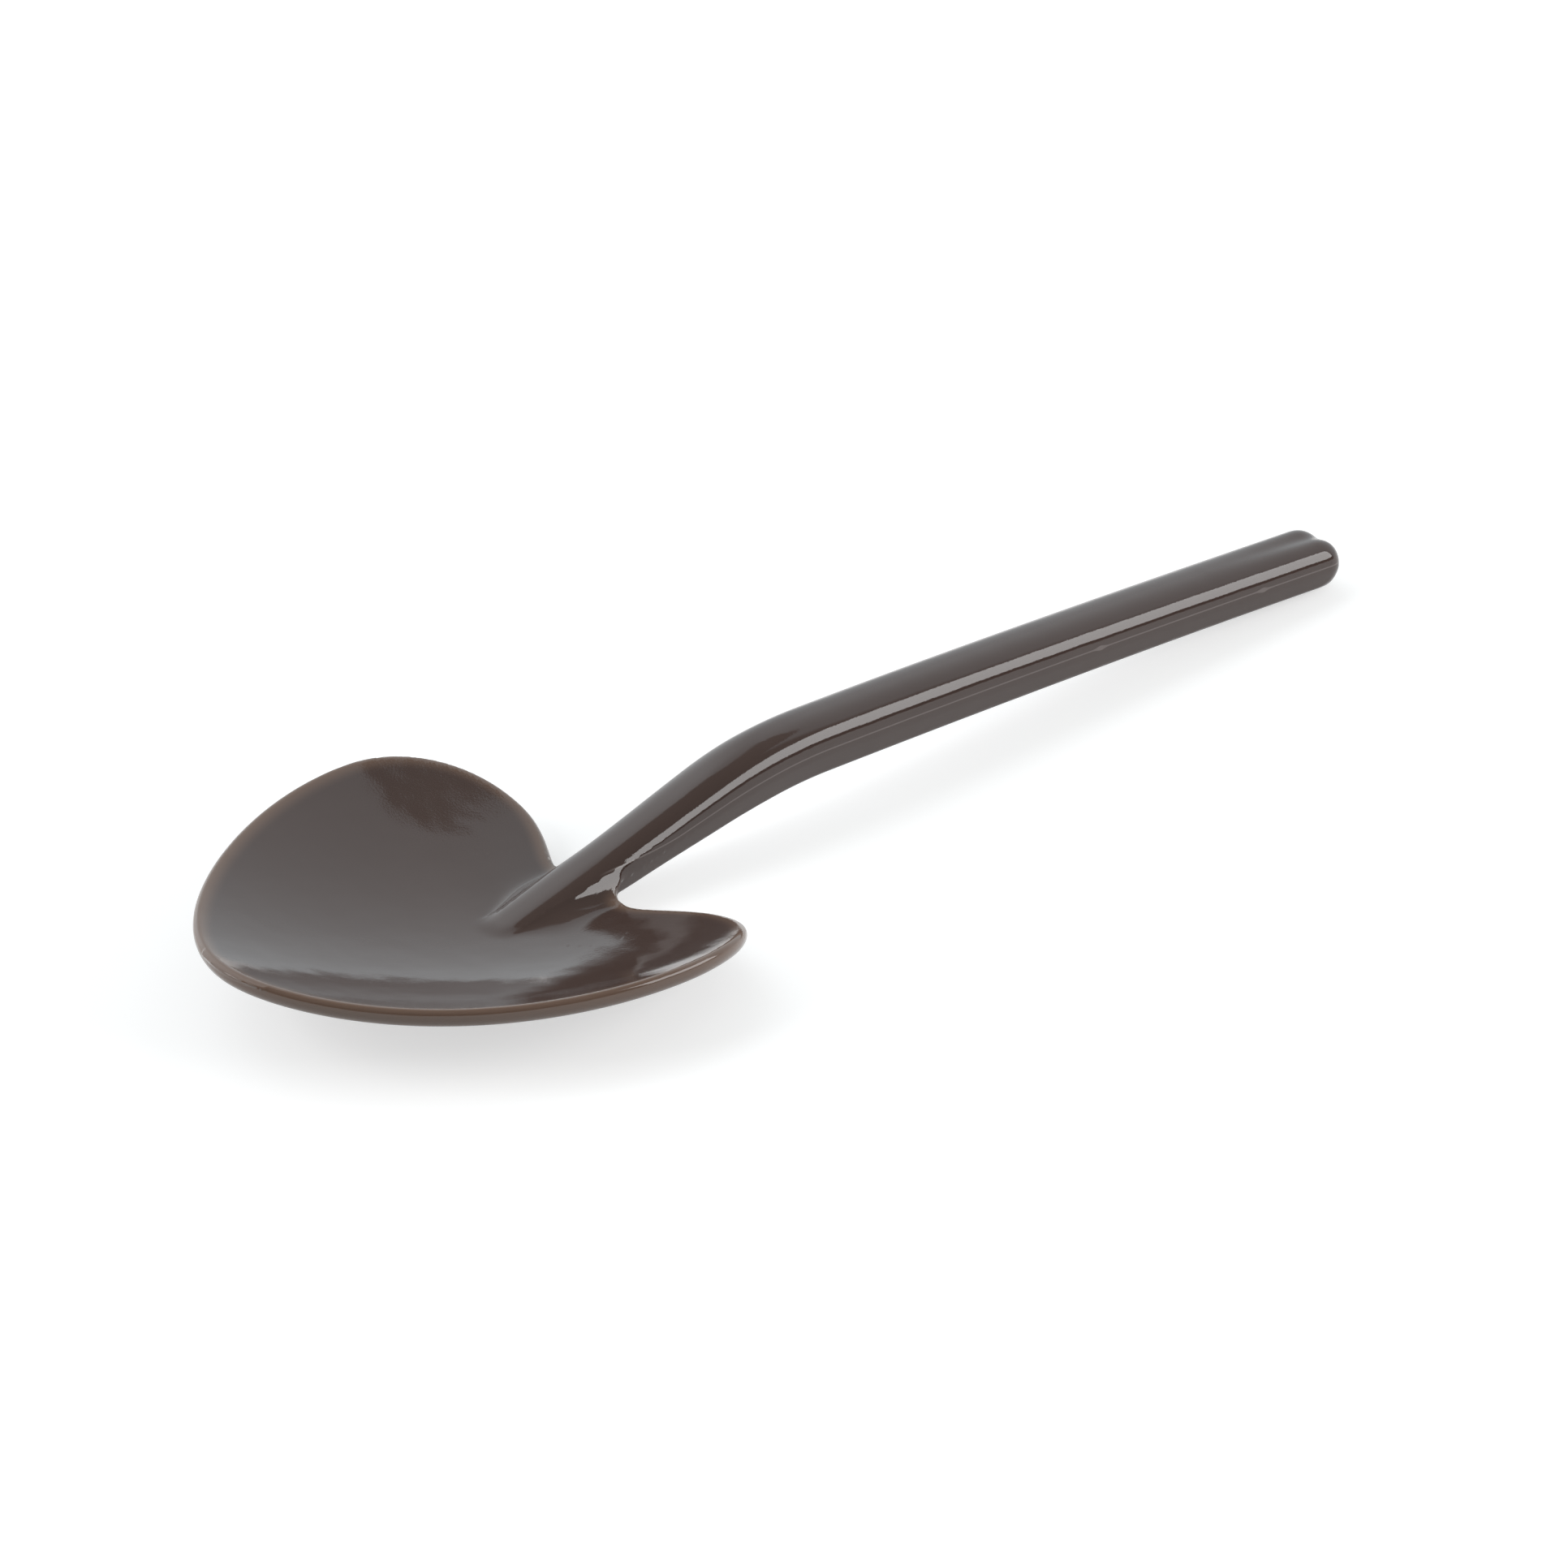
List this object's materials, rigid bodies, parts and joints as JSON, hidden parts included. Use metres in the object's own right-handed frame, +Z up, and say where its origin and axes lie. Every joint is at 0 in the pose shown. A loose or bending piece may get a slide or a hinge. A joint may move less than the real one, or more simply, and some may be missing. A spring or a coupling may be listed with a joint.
{
  "type": "amuse bouche spoon",
  "caption": "Small moulded tasting spoon with a wide leaf-shaped dish, cleft at its rear, and a stem that grows out of the dish's floor and bends down to the table as the handle.",
  "frame": {"origin": "on the table, under the middle of the spoon's length and width", "axes": "+X along the spoon from the dish's tip to the handle's end, +Y across it, +Z up from the table that the spoon stands on"},
  "size_m": [0.14, 0.0502, 0.0102],
  "materials": {
    "body": "glossy taupe-grey moulded plastic, opaque, slightly lighter and redder in its thin edges"
  },
  "bodies": {
    "root": {"spoon": "body"}
  },
  "joints": []
}
